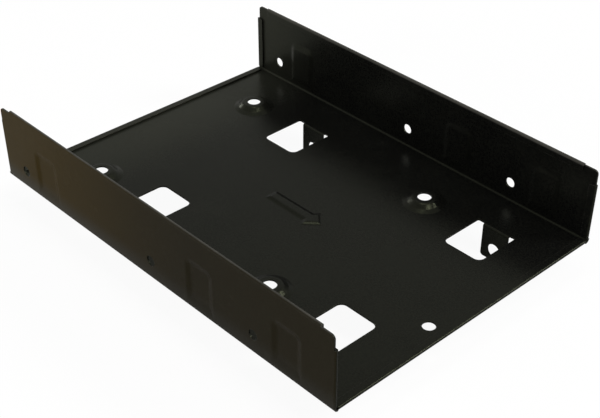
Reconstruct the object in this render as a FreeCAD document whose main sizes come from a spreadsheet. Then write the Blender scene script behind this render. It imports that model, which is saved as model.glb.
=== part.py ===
import FreeCAD, Part
import math
import operator
import os

import Sketcher
from FreeCAD import Placement, Rotation, Vector

# Driving dimensions in millimetres.
# X runs along the tray from its front end, Y across it, Z up from the lower ends of the tabs.
DIMENSIONS = {
    # Sheet, folds and overall size
    "sheet_thickness": 0.5,
    "tray_width": 101.6,
    "wall_height": 24.5,
    "wall_bend": 0.7,
    "front_margin": 10.45,
    "rear_margin": 29.3,
    # Hems, folded flat onto the inner side
    "hem_length": 2.4,
    "hem_gap": 0.1,
    "hem_corner": 0.7,
    "top_hem_stop": 5.2,
    "end_hem_drop": 5.0,
    "end_hem_lift": 0.15,
    "floor_hem_stop": 0.15,
    # Single sheet left at the corners between the hems
    "corner_inset": 0.6,
    "corner_drop": 0.6,
    "corner_round": 1.2,
    # Holes for the bay's screws, three in each wall
    "side_hole": 3.2,
    "side_hole_height": 6.35,
    "side_hole_first_pitch": 60.0,
    "side_hole_second_pitch": 41.6,
    # Stiffening dents pressed inwards, one behind each side hole
    "dent_width": 11.2,
    "dent_first_step": 11.4,
    "dent_second_step": 20.6,
    "dent_third_step": 12.3,
    "dent_drop": 7.6,
    "dent_foot": 1.6,
    "dent_depth": 0.45,
    "dent_flank": 2.2,
    "dent_ramp": 3.0,
    "dent_round": 2.9,
    # The small drive: its hole pitches and its width
    "drive_pitch": 76.6,
    "drive_row_gap": 61.72,
    "drive_width": 69.85,
    "drive_clearance": 0.15,
    # Raised seats for the small drive's bottom screws
    "seat_first": 8.8,
    "seat_hole": 4.3,
    "seat_height": 1.8,
    "seat_base": 11.8,
    "seat_top": 7.4,
    "seat_flare": 0.7,
    "seat_blend": 1.2,
    # Windows in the floor and the tabs folded down out of them
    "window_first": 32.5,
    "window_width": 13.66,
    "window_inner": 20.2,
    "window_round": 2.1,
    "relief_depth": 0.45,
    "relief_round": 0.6,
    "tab_width": 9.3,
    "tab_lead": 0.36,
    "tab_length": 10.4,
    "tab_bend": 0.2,
    "tab_round": 1.0,
    "tab_hole": 4.5,
    "tab_hole_drop": 6.95,
    # Plain hole near the rear end
    "rear_hole": 3.8,
    "rear_hole_inset": 6.0,
    "rear_hole_offset": 10.6,
    # Arrow raised out of the floor
    "arrow_start": 51.7,
    "arrow_length": 21.7,
    "arrow_shaft": 4.5,
    "arrow_head": 8.0,
    "arrow_neck": 5.7,
    "arrow_barb": 4.3,
    "arrow_height": 0.5,
    "arrow_slope": 65.0,
    "arrow_blend": 1.4,
}

# How far a cutting outline runs past the edge that it trims
OVERRUN = 2.0
# How near two lengths are when they count as the same
NEAR = 0.01
# A dent's flank: shares of its width and of its depth, with a gentler slope at the rim and at the flat
DENT_FLANK = ((0.0, 0.0), (0.25, 0.15), (0.75, 0.85), (1.0, 1.0))


OPERATIONS = {"+": operator.add, "-": operator.sub, "*": operator.mul, "/": operator.truediv}


class Size:
    """A length with the sheet expression that it comes from."""

    def __init__(self, value, text):
        self.value = value
        self.text = text

    def combine(self, other, sign, swap=False):
        """The size that a sign makes of this one and another, or of the other and this one."""
        if not isinstance(other, Size):
            other = Size(float(other), repr(float(other)))
        left, right = (other, self) if swap else (self, other)
        return Size(OPERATIONS[sign](left.value, right.value), f"({left.text} {sign} {right.text})")

    def __add__(self, other):
        return self.combine(other, "+")

    def __radd__(self, other):
        return self.combine(other, "+", swap=True)

    def __sub__(self, other):
        return self.combine(other, "-")

    def __rsub__(self, other):
        return self.combine(other, "-", swap=True)

    def __mul__(self, other):
        return self.combine(other, "*")

    def __rmul__(self, other):
        return self.combine(other, "*", swap=True)

    def __truediv__(self, other):
        return self.combine(other, "/")

    def __neg__(self):
        return self.combine(-1, "*")


doc = FreeCAD.newDocument("drive_bay_adapter")
sheet = doc.addObject("Spreadsheet::Sheet", "Sizes")
for row, (name, value) in enumerate(DIMENSIONS.items(), start=1):
    sheet.set("A" + str(row), name)
    sheet.set("B" + str(row), str(value))
    sheet.setAlias("B" + str(row), name)
doc.recompute()


def size(name):
    """The sheet's value of that name."""
    return Size(float(sheet.get(name)), "Sizes." + name)


body = doc.addObject("PartDesign::Body", "Bracket")
body.Label = "adapter_bracket"
body.Placement = Placement(Vector(0, 0, 0), Rotation())


def origin_part(role):
    """The body's own origin plane or axis with that role."""
    return next(item for item in body.Origin.OriginFeatures if item.Role == role)


def bind(target, prop, amount):
    """Tie a property to its sheet expression."""
    target.setExpression(prop, amount.text)


# Sketch helpers

def new_sketch(name, plane, offset=None):
    """A sketch on an origin plane, moved by the amounts in offset along its own x, y and z."""
    sketch = body.newObject("Sketcher::SketchObject", name)
    sketch.AttachmentSupport = [(origin_part(plane), "")]
    sketch.MapMode = "FlatFace"
    for axis, amount in (offset or {}).items():
        bind(sketch, "AttachmentOffset.Base." + axis, amount)
    doc.recompute()
    return sketch


def place_point(sketch, element, point, place):
    """Hold a point of a sketch element at a place that the sheet gives."""
    for kind, amount in zip(("DistanceX", "DistanceY"), place):
        index = sketch.addConstraint(Sketcher.Constraint(kind, element, point, amount.value))
        sketch.setExpression("Constraints[" + str(index) + "]", amount.text)


def vector(place):
    """A sketch point as a vector."""
    return Vector(place[0].value, place[1].value, 0)


def closed_outline(sketch, corners):
    """Draw a closed outline.

    Each corner is its place, then nothing for a straight side to the next corner,
    or for an arc its bulge (a point it passes) and the side it runs into: "before" or "after".
    """
    count = len(corners)
    first = sketch.GeometryCount
    for number, corner in enumerate(corners):
        start = vector(corner[0])
        end = vector(corners[(number + 1) % count][0])
        if len(corner) == 1:
            sketch.addGeometry(Part.LineSegment(start, end))
        else:
            sketch.addGeometry(Part.Arc(start, vector(corner[1]), end))
    ends = []
    for number, corner in enumerate(corners):
        reverse = len(corner) > 1 and runs_clockwise(corner, corners[(number + 1) % count])
        ends.append((2, 1) if reverse else (1, 2))
    for number, corner in enumerate(corners):
        before = (number - 1) % count
        touch = (first + before, ends[before][1], first + number, ends[number][0])
        smooth = (len(corner) > 1 and corner[2] == "before") or (
            len(corners[before]) > 1 and corners[before][2] == "after")
        sketch.addConstraint(Sketcher.Constraint("Tangent" if smooth else "Coincident", *touch))
        place_point(sketch, first + number, ends[number][0], corner[0])


def runs_clockwise(corner, following):
    """Whether an arc from one corner to the next turns clockwise, as its ends are stored swapped then."""
    start, bulge, end = vector(corner[0]), vector(corner[1]), vector(following[0])
    return (bulge - start).cross(end - bulge).z < 0


def rectangle(sketch, left, right, low, high):
    """A plain rectangle."""
    closed_outline(sketch, [((left, low),), ((right, low),), ((right, high),), ((left, high),)])


def corner_bulge(centre, radius, side_x, side_y):
    """The middle of a quarter arc about a centre, on the given sides of it."""
    reach = radius * math.sqrt(0.5)
    return (centre[0] + reach * side_x, centre[1] + reach * side_y)


def arched_rectangle(sketch, left, right, low, high, radius):
    """A rectangle with its two upper corners rounded."""
    closed_outline(sketch, [
        ((left, low),),
        ((right, low),),
        ((right, high - radius), corner_bulge((right - radius, high - radius), radius, 1, 1), "before"),
        ((right - radius, high),),
        ((left + radius, high), corner_bulge((left + radius, high - radius), radius, -1, 1), "before"),
        ((left, high - radius),),
    ])


def circle(sketch, centre, diameter):
    """A circle held at its centre."""
    index = sketch.addGeometry(Part.Circle(vector(centre), Vector(0, 0, 1), diameter.value / 2))
    place_point(sketch, index, 3, centre)
    held = sketch.addConstraint(Sketcher.Constraint("Diameter", index, diameter.value))
    sketch.setExpression("Constraints[" + str(held) + "]", diameter.text)


# Feature helpers

def pad(name, profile, length, both_ways=False, reverse=False):
    """Extrude a profile into material."""
    feature = body.newObject("PartDesign::Pad", name)
    feature.Profile = profile
    bind(feature, "Length", length)
    feature.SideType = "Symmetric" if both_ways else "One side"
    feature.Reversed = reverse
    doc.recompute()
    return feature


def cut_through(name, profile):
    """Cut a profile through everything, both ways from its plane."""
    feature = body.newObject("PartDesign::Pocket", name)
    feature.Profile = profile
    feature.Type = "ThroughAll"
    feature.SideType = "Symmetric"
    doc.recompute()
    return feature


def round_edges(name, radius, wanted):
    """Round the edges of the body's present tip that a test picks."""
    base = body.Tip
    names = ["Edge" + str(number) for number, edge in enumerate(base.Shape.Edges, start=1) if wanted(edge)]
    feature = body.newObject("PartDesign::Fillet", name)
    feature.Base = (base, names)
    bind(feature, "Radius", radius)
    doc.recompute()
    return feature


# Sizes worked out from the driving dimensions

zero = Size(0.0, "0.0")
thickness = size("sheet_thickness")
half_width = size("tray_width") / 2
hole_span = size("side_hole_first_pitch") + size("side_hole_second_pitch")
tray_length = size("front_margin") + hole_span + size("rear_margin")
half_length = tray_length / 2
side_hole_front = size("front_margin") - half_length
floor_low = size("tab_length")
floor_high = floor_low + thickness
wall_high = floor_low + size("wall_height")
fold_radius = thickness + size("hem_gap") / 2
fold_high = wall_high - fold_radius
fold_end = half_length - fold_radius
flap_near = thickness + size("hem_gap")
flap_far = flap_near + thickness
bend_outer = size("wall_bend") + thickness
single_half = half_length - size("corner_inset")
single_high = wall_high - size("corner_drop")
end_hem_low = floor_low + bend_outer + size("end_hem_lift")
end_hem_high = wall_high - size("end_hem_drop")
top_hem_half = half_length - size("top_hem_stop")
floor_hem_half = half_width - bend_outer - size("floor_hem_stop")
drive_half_pitch = size("drive_pitch") / 2
drive_half_row = size("drive_row_gap") / 2
seat_middle = side_hole_front + size("seat_first") + drive_half_pitch
window_middle = side_hole_front + size("window_first") + drive_half_pitch
tab_middle = window_middle + size("tab_lead")
tab_inner = size("drive_width") / 2 + size("drive_clearance")
tab_outer = tab_inner + thickness
relief_outer = tab_outer + size("relief_depth")


# The channel: floor, two bends and two walls in one profile

def channel_profile():
    """The folded section across the tray, up to the lines where the walls fold over."""
    sketch = new_sketch("ChannelSection", "YZ_Plane")
    bend = size("wall_bend")
    inner = half_width - thickness
    corners = [((-half_width, fold_high),)]
    corners += [((-half_width, floor_low + bend_outer), corner_bulge(
        (bend_outer - half_width, floor_low + bend_outer), bend_outer, -1, -1), "before")]
    corners += [((bend_outer - half_width, floor_low),)]
    corners += [((half_width - bend_outer, floor_low), corner_bulge(
        (half_width - bend_outer, floor_low + bend_outer), bend_outer, 1, -1), "before")]
    corners += [((half_width, floor_low + bend_outer),), ((half_width, fold_high),)]
    corners += [((inner, fold_high),)]
    corners += [((inner, floor_high + bend), corner_bulge(
        (inner - bend, floor_high + bend), bend, 1, -1), "before")]
    corners += [((inner - bend, floor_high),)]
    corners += [((bend - inner, floor_high), corner_bulge(
        (bend - inner, floor_high + bend), bend, -1, -1), "before")]
    corners += [((-inner, floor_high + bend),), ((-inner, fold_high),)]
    closed_outline(sketch, corners)
    return sketch


def corner_trims():
    """What is cut off the walls' upper corners, where no hem doubles the sheet."""
    sketch = new_sketch("WallCornerTrims", "XZ_Plane")
    radius = size("corner_round")
    for end in (-1, 1):
        closed_outline(sketch, [
            ((end * top_hem_half, single_high),),
            ((end * (single_half - radius), single_high), corner_bulge(
                (end * (single_half - radius), single_high - radius), radius, end, 1), "before"),
            ((end * single_half, single_high - radius),),
            ((end * single_half, end_hem_high),),
            ((end * (half_length + OVERRUN), end_hem_high),),
            ((end * (half_length + OVERRUN), wall_high + OVERRUN),),
            ((end * top_hem_half, wall_high + OVERRUN),),
        ])
    return sketch


pad("Channel", channel_profile(), fold_end * 2, both_ways=True)
cut_through("WallCornerCut", corner_trims())


# The hems: a doubled edge beyond each fold line

def hem_section(sketch, place):
    """One hem in section: out along the sheet, round the fold and back over it.

    place turns a distance in from the folded edge and a height above the sheet's outer face
    into a sketch point.
    """
    fold = fold_radius
    tip = size("hem_length")
    inner = size("hem_gap") / 2
    closed_outline(sketch, [
        (place(fold, zero), place(zero, fold), "after"),
        (place(fold, flap_far),),
        (place(tip, flap_far),),
        (place(tip, flap_near),),
        (place(fold, flap_near), place(fold - inner, fold), "before"),
        (place(fold, thickness),),
    ])


def hem_sections_on_top():
    """Both walls' upper hems."""
    sketch = new_sketch("TopHemSections", "YZ_Plane")
    for side in (-1, 1):
        hem_section(sketch, lambda back, up, side=side: (side * (half_width - up), wall_high - back))
    return sketch


def hem_sections_on_ends():
    """Both walls' hems at both ends."""
    sketch = new_sketch("EndHemSections", "XY_Plane", {"z": end_hem_low})
    for end in (-1, 1):
        for side in (-1, 1):
            hem_section(sketch, lambda back, up, end=end, side=side: (
                end * (half_length - back), side * (half_width - up)))
    return sketch


def hem_sections_on_floor():
    """The floor's hems at both ends."""
    sketch = new_sketch("FloorHemSections", "XZ_Plane")
    for end in (-1, 1):
        hem_section(sketch, lambda back, up, end=end: (end * (half_length - back), floor_low + up))
    return sketch


def is_flap_corner(edge):
    """Whether an edge is a free corner of a hem's flap, square through its sheet."""
    middle = edge.CenterOfMass
    flap_middle = (flap_near + flap_far) / 2
    in_wall_flap = abs(abs(middle.y) - (half_width - flap_middle).value) < NEAR
    in_floor_flap = abs(middle.z - (floor_low + flap_middle).value) < NEAR
    return (in_wall_flap or in_floor_flap) and abs(edge.Length - thickness.value) < NEAR


def bend_sections():
    """Both bends in section, with the short flat stretches up to the ends of the hems."""
    sketch = new_sketch("BendSections", "YZ_Plane")
    bend = size("wall_bend")
    inner = half_width - thickness
    for side in (-1, 1):
        closed_outline(sketch, [
            ((side * half_width, end_hem_low),),
            ((side * half_width, floor_low + bend_outer), corner_bulge(
                (side * (half_width - bend_outer), floor_low + bend_outer), bend_outer, side, -1), "before"),
            ((side * (half_width - bend_outer), floor_low),),
            ((side * floor_hem_half, floor_low),),
            ((side * floor_hem_half, floor_high),),
            ((side * (inner - bend), floor_high), corner_bulge(
                (side * (inner - bend), floor_high + bend), bend, side, -1), "before"),
            ((side * inner, floor_high + bend),),
            ((side * inner, end_hem_low),),
        ])
    return sketch


pad("BendEnds", bend_sections(), half_length * 2, both_ways=True)
pad("TopHems", hem_sections_on_top(), top_hem_half * 2, both_ways=True)
pad("EndHems", hem_sections_on_ends(), end_hem_high - end_hem_low)
pad("FloorHems", hem_sections_on_floor(), floor_hem_half * 2, both_ways=True)
round_edges("FlapCorners", size("hem_corner"), is_flap_corner)


# The stiffening dents: a shallow recess outside and the same form standing proud inside

def dent_outline(name, middle, depth, inset, foot):
    """An upright outline with rounded upper corners, at a depth behind the wall's outer face."""
    sketch = new_sketch(name, "XZ_Plane", {"z": half_width - depth})
    half = size("dent_width") / 2 - inset
    top = wall_high - size("dent_drop") - inset
    arched_rectangle(sketch, middle - half, middle + half, foot, top, size("dent_round") - inset)
    return sketch


def dent_loft(kind, name, middle, face):
    """The dent's soft-edged form from a sheet face inwards, as material or as a recess."""
    foot = floor_low + size("dent_foot")
    outlines = []
    for number, (across, deep) in enumerate(DENT_FLANK):
        outlines.append(dent_outline(
            name + "Outline" + str(number), middle, face + size("dent_depth") * deep,
            size("dent_flank") * across, foot + size("dent_ramp") * across))
    loft = body.newObject(kind, name)
    loft.Profile = outlines[0]
    loft.Sections = outlines[1:]
    loft.Ruled = True
    doc.recompute()
    return loft


def stiffening_dents():
    """Three dents in the near wall, one after each side hole, and their mirror in the far wall."""
    second_hole = side_hole_front + size("side_hole_first_pitch")
    middles = {
        "First": side_hole_front + size("dent_first_step"),
        "Second": second_hole + size("dent_second_step"),
        "Third": side_hole_front + hole_span + size("dent_third_step"),
    }
    lofts = []
    for word, middle in middles.items():
        lofts.append(dent_loft("PartDesign::AdditiveLoft", word + "DentRise", middle, thickness))
        lofts.append(dent_loft("PartDesign::SubtractiveLoft", word + "DentRecess", middle, zero))
    mirror = body.newObject("PartDesign::Mirrored", "FarWallDents")
    mirror.Originals = lofts
    mirror.MirrorPlane = (origin_part("XZ_Plane"), [""])
    body.Tip = mirror
    doc.recompute()


stiffening_dents()


# The raised seats under the small drive's bottom screws

def seat_sketch(name, corners):
    """Half the section of a seat, drawn from its own middle."""
    sketch = new_sketch(name, "XZ_Plane", {"x": seat_middle - drive_half_pitch, "z": drive_half_row})
    closed_outline(sketch, [(corner,) for corner in corners])
    return sketch


def rise_section():
    """The seat over the floor, which runs out in a gentler slope at its foot."""
    foot = size("seat_base") / 2
    crown = size("seat_top") / 2
    flare = size("seat_flare")
    low = floor_low + thickness / 2
    top = floor_high + size("seat_height")
    bend_high = floor_high + size("seat_height") * flare / (foot - crown)
    return seat_sketch("SeatRiseSection", [
        (zero, low), (foot + flare, low), (foot + flare, floor_high), (foot - flare, bend_high),
        (crown, top), (zero, top)])


def recess_section():
    """The hollow under the seat."""
    foot = size("seat_base") / 2
    crown = size("seat_top") / 2
    top = floor_low + size("seat_height")
    low = floor_low - thickness
    return seat_sketch("SeatRecessSection", [
        (zero, low), (foot, low), (foot, floor_low), (crown, top), (zero, top)])


def turned(kind, name, profile):
    """A profile turned about its own upright axis."""
    feature = body.newObject(kind, name)
    feature.Profile = profile
    feature.ReferenceAxis = (profile, ["V_Axis"])
    feature.Angle = 360
    doc.recompute()
    return feature


def repeated(name, originals, pitch, row_gap=None):
    """Originals repeated once along the tray, and across it if a row gap is given."""
    pattern = body.newObject("PartDesign::LinearPattern", name)
    pattern.Originals = originals
    pattern.Direction = (origin_part("X_Axis"), [""])
    bind(pattern, "Length", pitch)
    pattern.Occurrences = 2
    if row_gap is not None:
        pattern.Direction2 = (origin_part("Y_Axis"), [""])
        bind(pattern, "Length2", row_gap)
        pattern.Occurrences2 = 2
    body.Tip = pattern
    doc.recompute()
    return pattern


def is_ring(edge, diameter, level):
    """Whether an edge is a circle of that diameter at that height."""
    return (edge.Curve.TypeId == "Part::GeomCircle"
            and abs(edge.Curve.Radius - diameter.value / 2) < NEAR
            and abs(edge.Curve.Center.z - level.value) < NEAR)


def raised_seats():
    """Four hollow seats pressed up out of the floor."""
    rise = turned("PartDesign::Revolution", "SeatRise", rise_section())
    recess = turned("PartDesign::Groove", "SeatRecess", recess_section())
    repeated("Seats", [rise, recess], size("drive_pitch"), size("drive_row_gap"))
    round_edges("SeatBlends", size("seat_blend"), lambda edge: is_ring(
        edge, size("seat_top"), floor_high + size("seat_height")))


raised_seats()


# Windows in the floor, and the tabs folded down from their outer edges

def window_outline(sketch, middle, side):
    """A window with a relief cut beside each edge of its tab, which runs past the tab's bend."""
    left = middle - size("window_width") / 2
    right = middle + size("window_width") / 2
    tab_left = middle + size("tab_lead") - size("tab_width") / 2
    tab_right = tab_left + size("tab_width")
    inner = size("window_inner")
    wide = size("window_round")
    tight = size("relief_round")
    closed_outline(sketch, [
        ((left + wide, side * inner),),
        ((right - wide, side * inner), corner_bulge(
            (right - wide, side * (inner + wide)), wide, 1, -side), "before"),
        ((right, side * (inner + wide)),),
        ((right, side * (relief_outer - tight)), corner_bulge(
            (right - tight, side * (relief_outer - tight)), tight, 1, side), "before"),
        ((right - tight, side * relief_outer),),
        ((tab_right, side * relief_outer),),
        ((tab_right, side * tab_outer),),
        ((tab_left, side * tab_outer),),
        ((tab_left, side * relief_outer),),
        ((left + tight, side * relief_outer), corner_bulge(
            (left + tight, side * (relief_outer - tight)), tight, -1, side), "before"),
        ((left, side * (relief_outer - tight)),),
        ((left, side * (inner + wide)), corner_bulge(
            (left + wide, side * (inner + wide)), wide, -1, -side), "before"),
    ])


def window_outlines():
    """Four rounded windows, each reaching out to its tab."""
    sketch = new_sketch("Windows", "XY_Plane")
    for end in (-1, 1):
        for side in (-1, 1):
            window_outline(sketch, window_middle + end * drive_half_pitch, side)
    return sketch


def tab_sections():
    """A tab in section on each side: the bend out of the floor and the leg below it."""
    start = tab_middle - drive_half_pitch - size("tab_width") / 2
    sketch = new_sketch("TabSections", "YZ_Plane", {"z": start})
    bend = size("tab_bend")
    outer = bend + thickness
    centre_low = floor_low - bend
    for side in (-1, 1):
        def at(across, height, side=side):
            return (side * across, height)
        reach = tab_inner + outer
        closed_outline(sketch, [
            (at(reach, floor_high), at(*corner_bulge((reach, centre_low), outer, -1, 1)), "after"),
            (at(tab_inner, centre_low),),
            (at(tab_inner, zero),),
            (at(tab_outer, zero),),
            (at(tab_outer, centre_low), at(*corner_bulge((reach, centre_low), bend, -1, 1)), "before"),
            (at(reach, floor_low),),
        ])
    return sketch


def folded_tabs():
    """Four tabs with rounded lower corners."""
    tabs = pad("Tabs", tab_sections(), size("tab_width"))
    repeated("RearTabs", [tabs], size("drive_pitch"))
    round_edges("TabCorners", size("tab_round"), lambda edge: (
        abs(edge.CenterOfMass.z) < NEAR
        and abs(edge.Length - thickness.value) < NEAR
        and abs(abs(edge.CenterOfMass.y) - (tab_inner + thickness / 2).value) < NEAR))


cut_through("WindowCut", window_outlines())
folded_tabs()


# Holes

def side_hole_outlines():
    """The bay's screw holes, through both walls."""
    sketch = new_sketch("SideHoles", "XZ_Plane")
    height = floor_low + size("side_hole_height")
    for along in (zero, size("side_hole_first_pitch"), hole_span):
        circle(sketch, (side_hole_front + along, height), size("side_hole"))
    return sketch


def tab_hole_outlines():
    """The small drive's side screw holes, through the tabs."""
    sketch = new_sketch("TabHoles", "XZ_Plane")
    height = floor_low - size("tab_hole_drop")
    for end in (-1, 1):
        circle(sketch, (tab_middle + end * drive_half_pitch, height), size("tab_hole"))
    return sketch


def floor_hole_outlines():
    """A hole in each seat, and the plain one near the rear end."""
    sketch = new_sketch("FloorHoles", "XY_Plane")
    for end in (-1, 1):
        for side in (-1, 1):
            circle(sketch, (seat_middle + end * drive_half_pitch, side * drive_half_row), size("seat_hole"))
    rear = (half_length - size("rear_hole_inset"), -size("rear_hole_offset"))
    circle(sketch, rear, size("rear_hole"))
    return sketch


cut_through("SideHoleCut", side_hole_outlines())
cut_through("TabHoleCut", tab_hole_outlines())
cut_through("FloorHoleCut", floor_hole_outlines())


# The arrow raised out of the floor, with its hollow on the underside

def arrow_outline(name, level):
    """The arrow's outline at a level, pointing to the rear end."""
    sketch = new_sketch(name, "XY_Plane", {"z": level})
    start = side_hole_front + size("arrow_start")
    tip = start + size("arrow_length")
    neck = tip - size("arrow_neck")
    barb = tip - size("arrow_barb")
    shaft = size("arrow_shaft") / 2
    head = size("arrow_head") / 2
    corners = [(start, -shaft), (neck, -shaft), (barb, -head), (tip, zero)]
    corners += [(barb, head), (neck, shaft), (start, shaft)]
    closed_outline(sketch, [(corner,) for corner in corners])
    return sketch


def sloped(kind, name, level):
    """The arrow's low form with sloping sides, up from a level, as material or as a hollow."""
    feature = body.newObject(kind, name)
    feature.Profile = arrow_outline(name + "Outline", level)
    feature.Reversed = kind == "PartDesign::Pocket"
    bind(feature, "Length", size("arrow_height"))
    bind(feature, "TaperAngle", -size("arrow_slope"))
    doc.recompute()


def is_arrow_edge(edge):
    """Whether an edge runs round the arrow's foot or round its flat top."""
    middle = edge.CenterOfMass
    start = side_hole_front + size("arrow_start")
    along = start.value - NEAR < middle.x < (start + size("arrow_length")).value + NEAR
    across = abs(middle.y) < size("arrow_head").value / 2 + NEAR
    rise = middle.z - floor_high.value
    return along and across and any(abs(rise - level) < NEAR for level in (0, size("arrow_height").value))


sloped("PartDesign::Pad", "ArrowRise", floor_high)
sloped("PartDesign::Pocket", "ArrowHollow", floor_low)
round_edges("ArrowBlends", size("arrow_blend"), is_arrow_edge)


# Checks, then the node's file

def sound(item):
    """Whether an object computed without failure."""
    return not any(state in ("Invalid", "Error") for state in item.State)


doc.recompute()
failed = [item.Name for item in doc.Objects if not sound(item)]
if failed:
    raise RuntimeError("failed objects: " + ", ".join(failed))
if body.Shape.isNull() or not body.Shape.isValid() or len(body.Shape.Solids) != 1:
    raise RuntimeError("the bracket is not one valid solid")

os.makedirs("parts", exist_ok=True)
body.Shape.exportStep(os.path.join("parts", body.Label + ".step"))
box = body.Shape.BoundBox
print(f"{body.Label}: {body.Shape.Volume:.1f} mm3, {box.XLength:.2f} x {box.YLength:.2f} x {box.ZLength:.2f} mm")
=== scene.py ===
import logging
import math
from dataclasses import dataclass
from enum import Enum
from typing import Any, Mapping, Sequence, Union

import bpy
from mathutils import Matrix, Vector


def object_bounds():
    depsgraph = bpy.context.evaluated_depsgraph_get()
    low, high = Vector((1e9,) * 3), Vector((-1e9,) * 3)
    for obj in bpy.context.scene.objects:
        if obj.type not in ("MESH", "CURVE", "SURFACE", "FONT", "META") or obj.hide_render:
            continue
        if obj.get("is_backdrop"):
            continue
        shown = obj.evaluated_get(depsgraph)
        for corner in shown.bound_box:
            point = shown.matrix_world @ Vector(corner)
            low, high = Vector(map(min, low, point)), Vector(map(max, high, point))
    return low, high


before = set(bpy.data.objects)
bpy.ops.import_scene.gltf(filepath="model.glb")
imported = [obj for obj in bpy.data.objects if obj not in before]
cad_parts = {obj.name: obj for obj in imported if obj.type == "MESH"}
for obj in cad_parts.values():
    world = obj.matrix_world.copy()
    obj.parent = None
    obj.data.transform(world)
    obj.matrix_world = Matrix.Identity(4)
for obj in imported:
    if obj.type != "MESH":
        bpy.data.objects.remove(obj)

log = logging.getLogger("adapter_bracket_scene")

MM = 0.001
BRACKET_NODE = "adapter_bracket"
PAINT_SLOT = "black_paint"

Colour = tuple[float, float, float]
Limits = tuple[float, float]
Point = tuple[float, float, float]
Amount = Union[float, Sequence[float], "Wire"]

WHITE: Colour = (1.0, 1.0, 1.0)


# Shader graphs

class Wire:
    """One output of a shader node, on which Python's operators add Math nodes."""

    def __init__(self, graph: "Graph", socket: bpy.types.NodeSocket) -> None:
        """Hold a socket of a graph.

        Args:
            graph: The graph that the socket belongs to.
            socket: The output socket.
        """
        self.graph = graph
        self.socket = socket

    def _math(self, operation: str, first: Amount, second: Amount) -> "Wire":
        """Add a Math node.

        Args:
            operation: The node's operation.
            first: Its first value.
            second: Its second value.

        Returns:
            The node's result.
        """
        return self.graph.node("ShaderNodeMath", {"operation": operation}, {0: first, 1: second})

    def __add__(self, other: Amount) -> "Wire":
        """This value plus another."""
        return self._math("ADD", self, other)

    def __radd__(self, other: Amount) -> "Wire":
        """Another value plus this one."""
        return self._math("ADD", other, self)

    def __sub__(self, other: Amount) -> "Wire":
        """This value less another."""
        return self._math("SUBTRACT", self, other)

    def __rsub__(self, other: Amount) -> "Wire":
        """Another value less this one."""
        return self._math("SUBTRACT", other, self)

    def __mul__(self, other: Amount) -> "Wire":
        """This value times another."""
        return self._math("MULTIPLY", self, other)

    def __rmul__(self, other: Amount) -> "Wire":
        """Another value times this one."""
        return self._math("MULTIPLY", other, self)

    def larger(self, other: Amount) -> "Wire":
        """The larger of this value and another."""
        return self._math("MAXIMUM", self, other)

    def between(self, limits: Limits) -> "Wire":
        """How far this value lies from one limit to another.

        Args:
            limits: The value that gives 0 and the value that gives 1.

        Returns:
            A value from 0 to 1, smooth at both limits.
        """
        low, high = limits
        return self.graph.node(
            "ShaderNodeMapRange",
            {"interpolation_type": "SMOOTHSTEP"},
            {"Value": self, "From Min": low, "From Max": high},
        )


@dataclass(frozen=True)
class Mottle:
    """A pattern of soft spots: their size, their finer layers and how strong those are."""

    size: float
    detail: float
    roughness: float


class Graph:
    """A node tree that starts empty, with short calls to add nodes to it."""

    def __init__(self, tree: bpy.types.NodeTree) -> None:
        """Take over a node tree.

        Args:
            tree: The tree of a material or a world.
        """
        self.tree = tree
        tree.nodes.clear()

    def node(
        self,
        kind: str,
        settings: Mapping[str, Any],
        sockets: Mapping[Union[int, str], Amount],
        output: Union[int, str] = 0,
    ) -> Wire:
        """Add any node that has an output.

        Args:
            kind: The node's type.
            settings: The node's own properties, which are set first.
            sockets: Values or wires for its inputs, by name or number.
            output: Which output to return.

        Returns:
            The chosen output, or the first one.
        """
        made = self.tree.nodes.new(kind)
        for name, value in settings.items():
            setattr(made, name, value)
        for key, value in sockets.items():
            if isinstance(value, Wire):
                self.tree.links.new(value.socket, made.inputs[key])
            else:
                made.inputs[key].default_value = value
        return Wire(self, made.outputs[output])

    def axis(self, vector: Wire, name: str) -> Wire:
        """The part of a vector along the axis X, Y or Z."""
        return self.node("ShaderNodeSeparateXYZ", {}, {0: vector}, output=name)

    def blend(self, share: Amount, base: Amount, top: Amount) -> Wire:
        """Mix two colours.

        Args:
            share: How much of the second colour shows.
            base: The first colour.
            top: The second colour.

        Returns:
            The mixed colour.
        """
        mixer = {"data_type": "RGBA", "blend_type": "MIX"}
        return self.node("ShaderNodeMix", mixer, {0: share, 6: base, 7: top}, output=2)

    def layer(self, share: Amount, base: Wire, top: Wire) -> Wire:
        """Mix two shaders.

        Args:
            share: How much of the second shader shows.
            base: The first shader.
            top: The second shader.

        Returns:
            The mixed shader.
        """
        return self.node("ShaderNodeMixShader", {}, {0: share, 1: base, 2: top})

    def noise(self, place: Wire, pattern: Mottle) -> Wire:
        """Add a noise texture.

        Args:
            place: Where on the object it is read.
            pattern: The pattern of its spots.

        Returns:
            The noise value, about 0.5 on average.
        """
        sockets = {
            "Vector": place,
            "Scale": 1.0 / pattern.size,
            "Detail": pattern.detail,
            "Roughness": pattern.roughness,
        }
        return self.node("ShaderNodeTexNoise", {}, sockets)

    def finish(self, surface: Wire, output_kind: str = "ShaderNodeOutputMaterial") -> None:
        """Link a shader to a new output node.

        Args:
            surface: The shader.
            output_kind: The type of the output node.
        """
        made = self.tree.nodes.new(output_kind)
        self.tree.links.new(surface.socket, made.inputs["Surface"])


def opaque(colour: Colour) -> tuple[float, float, float, float]:
    """A colour with full alpha."""
    return (*colour, 1.0)


# The paint

@dataclass(frozen=True)
class Regions:
    """Masks from 0 to 1 that tell the regions of the painted sheet apart.

    Outer is the near wall's outer face, front grows towards the front end, upper grows up the
    walls, and clouds are large soft spots.
    """

    outer: Wire
    front: Wire
    upper: Wire
    clouds: Wire


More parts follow.
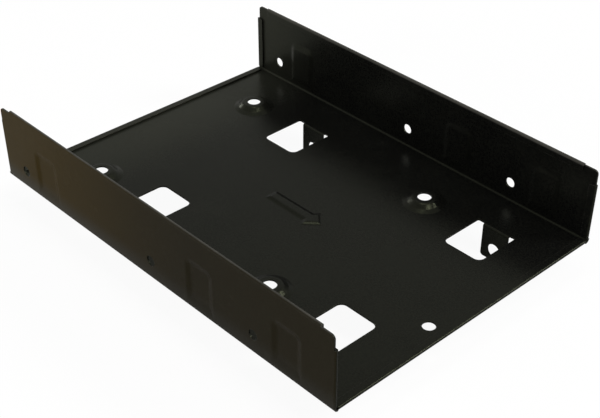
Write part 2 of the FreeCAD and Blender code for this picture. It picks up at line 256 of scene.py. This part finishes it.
@dataclass(frozen=True)
class BlackPaint:
    """Semi-gloss black paint on sheet steel.

    A dusting lies on it in soft spots and specks. The front end is painted lighter as a painted
    reflection of the lit ground, and the near wall's outer face has a painted warm reflection.
    The paint is lighter along sharp edges as worn paint and a painted edge highlight, the walls'
    tops have a painted highlight, and low on that outer face is a painted reflection of the
    ground.
    Heights are above the ground, and places along and across are from the bracket's middle.
    """

    body: Colour = (0.0029, 0.0029, 0.0028)
    # Dust colour, which also serves as a painted reflection of the lit ground at the front end.
    dust_and_front_reflection: Colour = (0.0210, 0.0218, 0.0160)
    # Painted warm reflection on the near wall's outer face.
    warm_reflection: Colour = (0.0290, 0.0188, 0.0045)
    # Worn paint colour, which also serves as painted highlights on edges and wall tops and as a
    # painted low reflection.
    worn_and_highlight: Colour = (0.060, 0.057, 0.050)
    sheen_tint: Colour = (0.93, 1.0, 0.62)

    gloss_level: float = 0.25
    gloss_share: float = 0.365
    outer_gloss_loss: float = 0.38
    smooth_roughness: float = 0.20
    dull_roughness: float = 0.32
    cloud_dulling: float = 0.5
    grain_dulling: float = 0.5

    clouds: Mottle = Mottle(22.0 * MM, 4.0, 0.6)
    grain: Mottle = Mottle(0.14 * MM, 2.0, 0.6)
    peel: Mottle = Mottle(0.55 * MM, 2.0, 0.5)
    patches: Mottle = Mottle(6.0 * MM, 5.0, 0.7)
    peel_height: float = 0.025 * MM
    grain_height: float = 0.3
    edge_radius: float = 0.22 * MM
    edge_samples: int = 6

    cloud_limits: Limits = (0.35, 0.7)
    speckle_limits: Limits = (0.45, 0.55)
    patch_limits: Limits = (0.4, 0.65)
    turn_limits: Limits = (0.02, 0.25)
    facing_limits: Limits = (0.25, 0.65)
    front_limits: Limits = (-60.0 * MM, 20.0 * MM)
    # Where the painted reflection at the front end fades out.
    front_reflection_limits: Limits = (-66.0 * MM, -38.0 * MM)
    outer_limits: Limits = (36.0 * MM, 49.0 * MM)
    wall_limits: Limits = (10.0 * MM, 18.0 * MM)
    crest_limits: Limits = (34.0 * MM, 34.5 * MM)

    cloud_dust: float = 0.05
    speckle_dust: float = 0.11
    # Share of the painted reflection at the front end.
    front_reflection_share: float = 0.5
    # Shares of the painted warm reflection on the outer face, towards the front and up the wall.
    front_warm_reflection: float = 0.76
    even_warm_reflection: float = 0.24
    upper_warm_reflection: float = 0.7
    lower_warm_reflection: float = 0.3
    # Shares of the painted reflection low on the outer face.
    front_low_reflection: float = 0.35
    even_low_reflection: float = 0.22
    patchy_edge: float = 0.6
    even_edge: float = 0.25
    # Shares of the painted highlight along the walls' tops.
    patchy_crest: float = 0.3
    even_crest: float = 0.5
    outer_crest_loss: float = 0.85

    def dress(self, obj: bpy.types.Object, slot: str) -> bpy.types.Material:
        """Put the finish on every material slot of an object.

        Args:
            obj: The object.
            slot: The record's name for the finish.

        Returns:
            The new material.
        """
        material = bpy.data.materials.new(slot)
        material.use_nodes = True
        graph = Graph(material.node_tree)
        place = graph.node("ShaderNodeTexCoord", {}, {}, output="Object")
        bevel = {"samples": self.edge_samples}
        rounded = graph.node("ShaderNodeBevel", bevel, {"Radius": self.edge_radius})
        regions = Regions(
            outer=self._outer_face(graph, place),
            front=self._front_end(graph, place, self.front_limits),
            upper=graph.axis(place, "Z").between(self.wall_limits),
            clouds=graph.noise(place, self.clouds).between(self.cloud_limits),
        )
        grain = graph.noise(place, self.grain)
        peel = graph.noise(place, self.peel)
        # Colour with a dusting and painted reflections, lightened by worn paint, painted
        # highlights and a painted reflection.
        paint_with_dust_and_reflections = self._dust_and_painted_reflections(graph, place, regions, peel)
        worn_and_painted_light_share = self._worn_and_painted_light(graph, place, regions, rounded)
        dull_gain = self.dull_roughness - self.smooth_roughness
        dulling = regions.clouds * self.cloud_dulling + grain * self.grain_dulling
        bumps = {
            "Strength": 1.0,
            "Distance": self.peel_height,
            "Height": peel + grain * self.grain_height,
            "Normal": rounded,
        }
        pigment = {
            "Base Color": graph.blend(worn_and_painted_light_share, paint_with_dust_and_reflections, opaque(self.worn_and_highlight)),
            "Roughness": self.smooth_roughness + dulling * dull_gain,
            "Normal": graph.node("ShaderNodeBump", {}, bumps),
        }
        no_sheen = {"Specular IOR Level": 0.0}
        sheen = {
            "Specular IOR Level": self.gloss_level,
            "Specular Tint": opaque(self.sheen_tint),
        }
        matt = graph.node("ShaderNodeBsdfPrincipled", {}, {**pigment, **no_sheen})
        glossy = graph.node("ShaderNodeBsdfPrincipled", {}, {**pigment, **sheen})
        share = self.gloss_share * (1.0 - regions.outer * self.outer_gloss_loss)
        graph.finish(graph.layer(share, matt, glossy))
        for holder in obj.material_slots:
            holder.material = material
        return material

    def _outer_face(self, graph: Graph, place: Wire) -> Wire:
        """The near wall's outer face.

        Args:
            graph: The material's graph.
            place: Where on the object it is read.

        Returns:
            A mask from 0, elsewhere, to 1, on that face.
        """
        facing = graph.node("ShaderNodeTexCoord", {}, {}, output="Normal")
        nearness = -1.0 * graph.axis(place, "Y")
        outward = -1.0 * graph.axis(facing, "Y")
        return nearness.between(self.outer_limits) * outward.between(self.facing_limits)

    def _front_end(self, graph: Graph, place: Wire, limits: Limits) -> Wire:
        """How near the front end a point lies.

        Args:
            graph: The material's graph.
            place: Where on the object it is read.
            limits: The places along the object that give 1 and 0.

        Returns:
            A value from 0 to 1.
        """
        return 1.0 - graph.axis(place, "X").between(limits)

    def _dust_and_painted_reflections(self, graph: Graph, place: Wire, regions: Regions, peel: Wire) -> Wire:
        """The paint's colour with its dusting and the painted reflections at the front and on
        the outer face.

        Args:
            graph: The material's graph.
            place: Where on the object it is read.
            regions: The regions of the surface.
            peel: The pattern of the paint's fine relief.

        Returns:
            The colour.
        """
        speckle = peel.between(self.speckle_limits)
        # Painted reflection of the lit ground at the front end.
        front_reflection = self._front_end(graph, place, self.front_reflection_limits)
        loose = regions.clouds * self.cloud_dust + speckle * self.speckle_dust
        dust_and_reflection_share = loose + front_reflection * self.front_reflection_share
        # Painted warm reflection on the outer face, stronger towards the front and up the wall.
        along = regions.front * self.front_warm_reflection + self.even_warm_reflection
        rise = regions.upper * self.upper_warm_reflection + self.lower_warm_reflection
        body_with_dust_and_front_reflection = graph.blend(dust_and_reflection_share, opaque(self.body), opaque(self.dust_and_front_reflection))
        return graph.blend(regions.outer * along * rise, body_with_dust_and_front_reflection, opaque(self.warm_reflection))

    def _worn_and_painted_light(self, graph: Graph, place: Wire, regions: Regions, rounded: Wire) -> Wire:
        """Where the paint is worn or lighter by painted highlights and a painted reflection.

        Args:
            graph: The material's graph.
            place: Where on the object it is read.
            regions: The regions of the surface.
            rounded: The normal with its edges rounded.

        Returns:
            A mask from 0, whole paint, to 1, worn or painted lighter.
        """
        # Painted reflection of the bright ground, low on the outer face and stronger towards the
        # front.
        along = regions.front * self.front_low_reflection + self.even_low_reflection
        low_reflection = regions.outer * along * (1.0 - regions.upper)
        # Painted highlight along the walls' tops, weaker on the outer face.
        crest = graph.axis(place, "Z").between(self.crest_limits)
        inward = 1.0 - regions.outer * self.outer_crest_loss
        crest_highlight = crest * inward * (regions.clouds * self.patchy_crest + self.even_crest)
        return self._worn_and_highlit_edges(graph, place, rounded).larger(low_reflection).larger(crest_highlight)

    def _worn_and_highlit_edges(self, graph: Graph, place: Wire, rounded: Wire) -> Wire:
        """Where the paint is lighter along sharp edges, as worn paint and a painted edge
        highlight.

        Args:
            graph: The material's graph.
            place: Where on the object the wear and the painted highlight are read.
            rounded: The normal with its edges rounded.

        Returns:
            A mask from 0, whole paint, to 1, worn and painted as a highlight.
        """
        flat = graph.node("ShaderNodeNewGeometry", {}, {}, output="Normal")
        product = {"operation": "DOT_PRODUCT"}
        turn = graph.node("ShaderNodeVectorMath", product, {0: rounded, 1: flat}, output="Value")
        # Lighter along sharp edges: worn paint and a painted edge highlight.
        edge = (1.0 - turn).between(self.turn_limits)
        patchy = graph.noise(place, self.patches).between(self.patch_limits)
        return edge * (patchy * self.patchy_edge + self.even_edge)


# The object

@dataclass
class AdapterBracket:
    """The folded sheet bracket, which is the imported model's one node."""

    finish: BlackPaint
    sharp_angle: float = math.radians(28.0)

    def build(self) -> bpy.types.Object:
        """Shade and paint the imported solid, whose shape stays as it is.

        Returns:
            The node's object.
        """
        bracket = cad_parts[BRACKET_NODE]
        bracket.data.shade_smooth()
        bracket.data.set_sharp_from_angle(angle=self.sharp_angle)
        self.finish.dress(bracket, PAINT_SLOT)
        return bracket


# The studio

class SeenBy(Enum):
    """Rays that meet the plain white background."""

    CAMERA = "Is Camera Ray"
    GLOSSY = "Is Glossy Ray"
    TRANSMISSION = "Is Transmission Ray"


def plain_share(graph: Graph, direct: float, mirrored: float) -> Wire:
    """How much of the plain white background a ray meets.

    Args:
        graph: The graph of the ground or the world.
        direct: The share for rays from the camera.
        mirrored: The share for rays by way of gloss or glass.

    Returns:
        That share, which is 0 for any other ray.
    """
    levels = {SeenBy.CAMERA: direct, SeenBy.GLOSSY: mirrored, SeenBy.TRANSMISSION: mirrored}
    shares = [
        graph.node("ShaderNodeLightPath", {}, {}, output=ray.value) * level
        for ray, level in levels.items()
    ]
    return shares[0].larger(shares[1]).larger(shares[2])


def direction(azimuth: float, elevation: float) -> Vector:
    """The direction towards a place round the bracket.

    Args:
        azimuth: Degrees from the near side, towards the rear end.
        elevation: Degrees above the ground.

    Returns:
        A unit vector.
    """
    turn, rise = math.radians(azimuth), math.radians(elevation)
    level = math.cos(rise)
    return Vector((math.sin(turn) * level, -math.cos(turn) * level, math.sin(rise)))


@dataclass(frozen=True)
class WhiteGround:
    """Matt white ground that shows as the plain background, with the object's shadow on it.

    From below it is clear, so that the object's underside can be seen through it.
    """

    colour: Colour = (0.86, 0.86, 0.85)
    direct_share: float = 0.94
    mirrored_share: float = 0.15

    def dress(self, obj: bpy.types.Object) -> None:
        """Put the finish on the ground.

        Args:
            obj: The ground's object.
        """
        material = bpy.data.materials.new("white_ground")
        material.use_nodes = True
        graph = Graph(material.node_tree)
        matt = graph.node("ShaderNodeBsdfDiffuse", {}, {"Color": opaque(self.colour)})
        plain = graph.node("ShaderNodeEmission", {}, {"Color": opaque(WHITE), "Strength": 1.0})
        share = plain_share(graph, self.direct_share, self.mirrored_share)
        topside = graph.layer(share, matt, plain)
        clear = graph.node("ShaderNodeBsdfTransparent", {}, {})
        underside = graph.node("ShaderNodeNewGeometry", {}, {}, output="Backfacing")
        graph.finish(graph.layer(underside, topside, clear))
        obj.data.materials.append(material)


@dataclass
class Ground:
    """The wide flat ground that the bracket stands on."""

    finish: WhiteGround
    half_side: float = 6.0
    gap: float = 0.05 * MM

    def build(self) -> bpy.types.Object:
        """Make the ground just under the bracket's feet.

        Returns:
            The ground's object.
        """
        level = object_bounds()[0][2] - self.gap
        reach = self.half_side
        edges = ((-reach, -reach), (reach, -reach), (reach, reach), (-reach, reach))
        corners = [(*edge, level) for edge in edges]
        mesh = bpy.data.meshes.new("ground")
        mesh.from_pydata(corners, [], [(0, 1, 2, 3)])
        ground = bpy.data.objects.new("ground", mesh)
        bpy.context.scene.collection.objects.link(ground)
        self.finish.dress(ground)
        ground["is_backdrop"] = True
        return ground


@dataclass
class OpenSky:
    """Even light from all round the studio, which shows as plain white."""

    colour: Colour = (1.0, 1.0, 0.97)
    strength: float = 0.1
    plain_strength: float = 1.0

    def build(self) -> bpy.types.World:
        """Make the world.

        Returns:
            The world.
        """
        world = bpy.data.worlds.new("studio_light")
        world.use_nodes = True
        graph = Graph(world.node_tree)
        glow = self._background(graph, self.colour, self.strength)
        plain = self._background(graph, WHITE, self.plain_strength)
        share = plain_share(graph, direct=1.0, mirrored=1.0)
        graph.finish(graph.layer(share, glow, plain), "ShaderNodeOutputWorld")
        bpy.context.scene.world = world
        return world

    def _background(self, graph: Graph, colour: Colour, strength: float) -> Wire:
        """A plain background of one colour and strength."""
        sockets = {"Color": opaque(colour), "Strength": strength}
        return graph.node("ShaderNodeBackground", {}, sockets)


@dataclass
class SoftLamp:
    """A square white lamp that faces the bracket."""

    name: str
    azimuth: float
    elevation: float
    distance: float
    side: float
    power: float

    def build(self, target: Vector) -> bpy.types.Object:
        """Hang the lamp.

        Args:
            target: The point that it faces.

        Returns:
            The lamp's object.
        """
        lamp = bpy.data.lights.new(self.name, "AREA")
        lamp.shape = "SQUARE"
        lamp.size = self.side
        lamp.energy = self.power
        holder = bpy.data.objects.new(self.name, lamp)
        outward = direction(self.azimuth, self.elevation)
        turned = outward.to_track_quat("Z", "Y").to_matrix().to_4x4()
        holder.matrix_world = Matrix.Translation(target + outward * self.distance) @ turned
        bpy.context.scene.collection.objects.link(holder)
        return holder


@dataclass
class PhotoCamera:
    """The camera as it stood for the photograph."""

    azimuth: float = 45.043
    elevation: float = 37.138
    roll: float = 1.232
    distance: float = 354.1 * MM
    aim: Point = (17.835 * MM, 0.24 * MM, 1.08 * MM)
    lens: float = 72.79
    sensor: float = 36.0
    shift: tuple[float, float] = (-0.0544, 0.0835)
    nearest: float = 10.0 * MM

    def build(self) -> bpy.types.Object:
        """Place the camera and make it the scene's own.

        Returns:
            The camera's object.
        """
        data = bpy.data.cameras.new("photo_camera")
        data.lens = self.lens
        data.sensor_width = self.sensor
        data.shift_x, data.shift_y = self.shift
        data.clip_start = self.nearest
        camera = bpy.data.objects.new("photo_camera", data)
        outward = direction(self.azimuth, self.elevation)
        turned = outward.to_track_quat("Z", "Y").to_matrix().to_4x4()
        rolled = turned @ Matrix.Rotation(math.radians(self.roll), 4, "Z")
        place = Vector(self.aim) + outward * self.distance
        camera.matrix_world = Matrix.Translation(place) @ rolled
        bpy.context.scene.collection.objects.link(camera)
        bpy.context.scene.camera = camera
        return camera


def main() -> None:
    """Build the studio round the bracket and dress it."""
    logging.basicConfig(level=logging.INFO, format="%(message)s")
    cad_box = [list(corner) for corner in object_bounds()]
    middle = (Vector(cad_box[0]) + Vector(cad_box[1])) / 2
    camera = PhotoCamera().build()
    log.info("camera %s", camera.name)
    bracket = AdapterBracket(finish=BlackPaint()).build()
    log.info("bracket %s", bracket.name)
    ground = Ground(finish=WhiteGround()).build()
    log.info("ground %s", ground.name)
    sky = OpenSky().build()
    log.info("sky %s", sky.name)
    lamps = [
        SoftLamp("key_lamp", azimuth=95.0, elevation=60.0, distance=1.2, side=0.32, power=4.4),
        SoftLamp("top_lamp", azimuth=0.0, elevation=89.0, distance=1.2, side=0.3, power=3.0),
        SoftLamp("back_lamp", azimuth=135.0, elevation=35.0, distance=1.4, side=0.4, power=13.0),
        SoftLamp("front_lamp", azimuth=0.0, elevation=15.0, distance=1.3, side=0.5, power=8.7),
        SoftLamp("side_lamp", azimuth=-80.0, elevation=15.0, distance=1.3, side=0.4, power=8.0),
    ]
    for lamp in lamps:
        log.info("lamp %s", lamp.build(middle).name)
    bpy.context.scene.view_settings.view_transform = "Standard"


if __name__ == "__main__":
    main()
